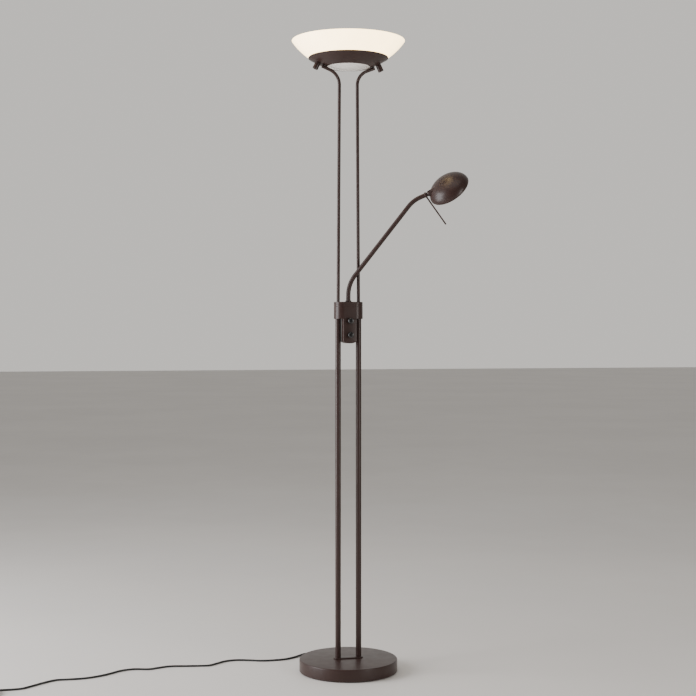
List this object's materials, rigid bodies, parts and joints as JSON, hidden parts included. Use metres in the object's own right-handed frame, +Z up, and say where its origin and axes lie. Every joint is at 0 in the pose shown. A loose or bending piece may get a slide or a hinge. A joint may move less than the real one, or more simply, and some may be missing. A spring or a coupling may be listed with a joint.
{
  "type": "floor lamp",
  "caption": "Twin-pole uplighter floor lamp with an opal glass bowl, a swivelling reading arm with a small round shade, a middle block with dimmer knobs and a round weighted base.",
  "frame": {"origin": "on the floor at the centre of the round base", "axes": "+Z up; the two poles stand side by side along X; the dimmer knobs face -Y"},
  "size_m": [1.3752, 0.3911, 1.8012],
  "materials": {
    "bronze_paint": "matt rust-brown powder coat with a fine texture",
    "opal_glass": "satin opal glass, white through, dense enough to hide the lamp",
    "opal_plastic": "frosted white diffuser",
    "knob_black": "polished black",
    "cord_black": "matt black PVC",
    "plug_black": "matt black moulded plastic",
    "tie_white": "white strap",
    "pad_felt": "dense black felt",
    "cast_weight": "rough cast iron",
    "plated_steel": "zinc plated",
    "pin_metal": "bright nickel plate",
    "bush_brass": "machined brass",
    "inner_aluminium": "mill finish aluminium",
    "black_anodised": "black anodised",
    "driver_case": "white moulded case",
    "inner_black": "black moulded plastic",
    "led_board": "white board with pale yellow chips",
    "silicone": "translucent silicone"
  },
  "bodies": {
    "stand": {"base_pad": "pad_felt", "base_plate": "plated_steel", "base_screws": "plated_steel", "base_weight": "cast_weight", "base_cover": "bronze_paint", "led_driver": "driver_case", "foot_plate": "bronze_paint", "pole_nipples": "plated_steel", "nipple_nuts": "plated_steel", "tube_plugs": "plated_steel", "lower_tube_left": "bronze_paint", "lower_tube_right": "bronze_paint", "pole_leads": "inner_black", "tube_reducers": "plated_steel", "upper_tube_left": "bronze_paint", "upper_tube_right": "bronze_paint", "block_body": "bronze_paint", "block_cap": "bronze_paint", "block_screws": "plated_steel", "dimmer_housing": "bronze_paint", "housing_back_cover": "bronze_paint", "dimmer_upper": "inner_black", "dimmer_lower": "inner_black", "dimmer_nuts": "plated_steel", "arm_bush": "inner_black", "head_posts": "bronze_paint", "post_screws": "plated_steel", "ring_dish": "bronze_paint", "glass_seat": "silicone", "glass_bowl": "opal_glass", "bowl_bracket": "inner_aluminium", "bowl_led_module": "led_board", "bowl_diffuser": "opal_plastic", "cord_gland": "cord_black", "cord": "cord_black", "cord_coil": "cord_black", "cord_tie": "tie_white", "mains_plug": "plug_black", "plug_pins": "pin_metal"},
    "upper_dimmer_knob": {"knob_upper": "knob_black", "shaft_upper": "plated_steel"},
    "lower_dimmer_knob": {"knob_lower": "knob_black", "shaft_lower": "plated_steel"},
    "arm": {"arm_collar": "bronze_paint", "arm_washer": "plated_steel", "arm_locknut": "plated_steel", "reading_arm": "bronze_paint", "arm_lead": "inner_black", "arm_tip_bush": "bush_brass"},
    "neck": {"neck_swivel": "bronze_paint", "neck_locknut": "plated_steel", "aiming_rod": "bronze_paint"},
    "reading_head": {"neck_pin": "plated_steel", "reading_shade": "bronze_paint", "reading_heat_sink": "black_anodised", "sink_screws": "plated_steel", "reading_led_board": "led_board", "reading_reflector": "inner_aluminium", "reading_lens": "opal_plastic", "lens_ring": "plated_steel"}
  },
  "joints": [
    {"name": "arm_swivel", "type": "hinge", "parent": "stand", "child": "arm", "pos_m": [0, 0, 1.0545], "axis": [0, 0, 1], "range_deg": [-130, 0]},
    {"name": "head_turn", "type": "hinge", "parent": "arm", "child": "neck", "pos_m": [0.20006, -0.09329, 1.35471], "axis": [0.8385, -0.391, 0.3795], "range_deg": [-120, 120]},
    {"name": "head_tilt", "type": "hinge", "parent": "neck", "child": "reading_head", "pos_m": [0.21263, -0.09915, 1.3604], "axis": [0.098, 0.7933, 0.6009], "range_deg": [-50, 4]},
    {"name": "knob_upper_turn", "type": "hinge", "parent": "stand", "child": "upper_dimmer_knob", "pos_m": [0, -0.025, 1], "axis": [0, -1, 0], "range_deg": [-140, 140]},
    {"name": "knob_lower_turn", "type": "hinge", "parent": "stand", "child": "lower_dimmer_knob", "pos_m": [0, -0.025, 0.96], "axis": [0, -1, 0], "range_deg": [-140, 140]}
  ]
}
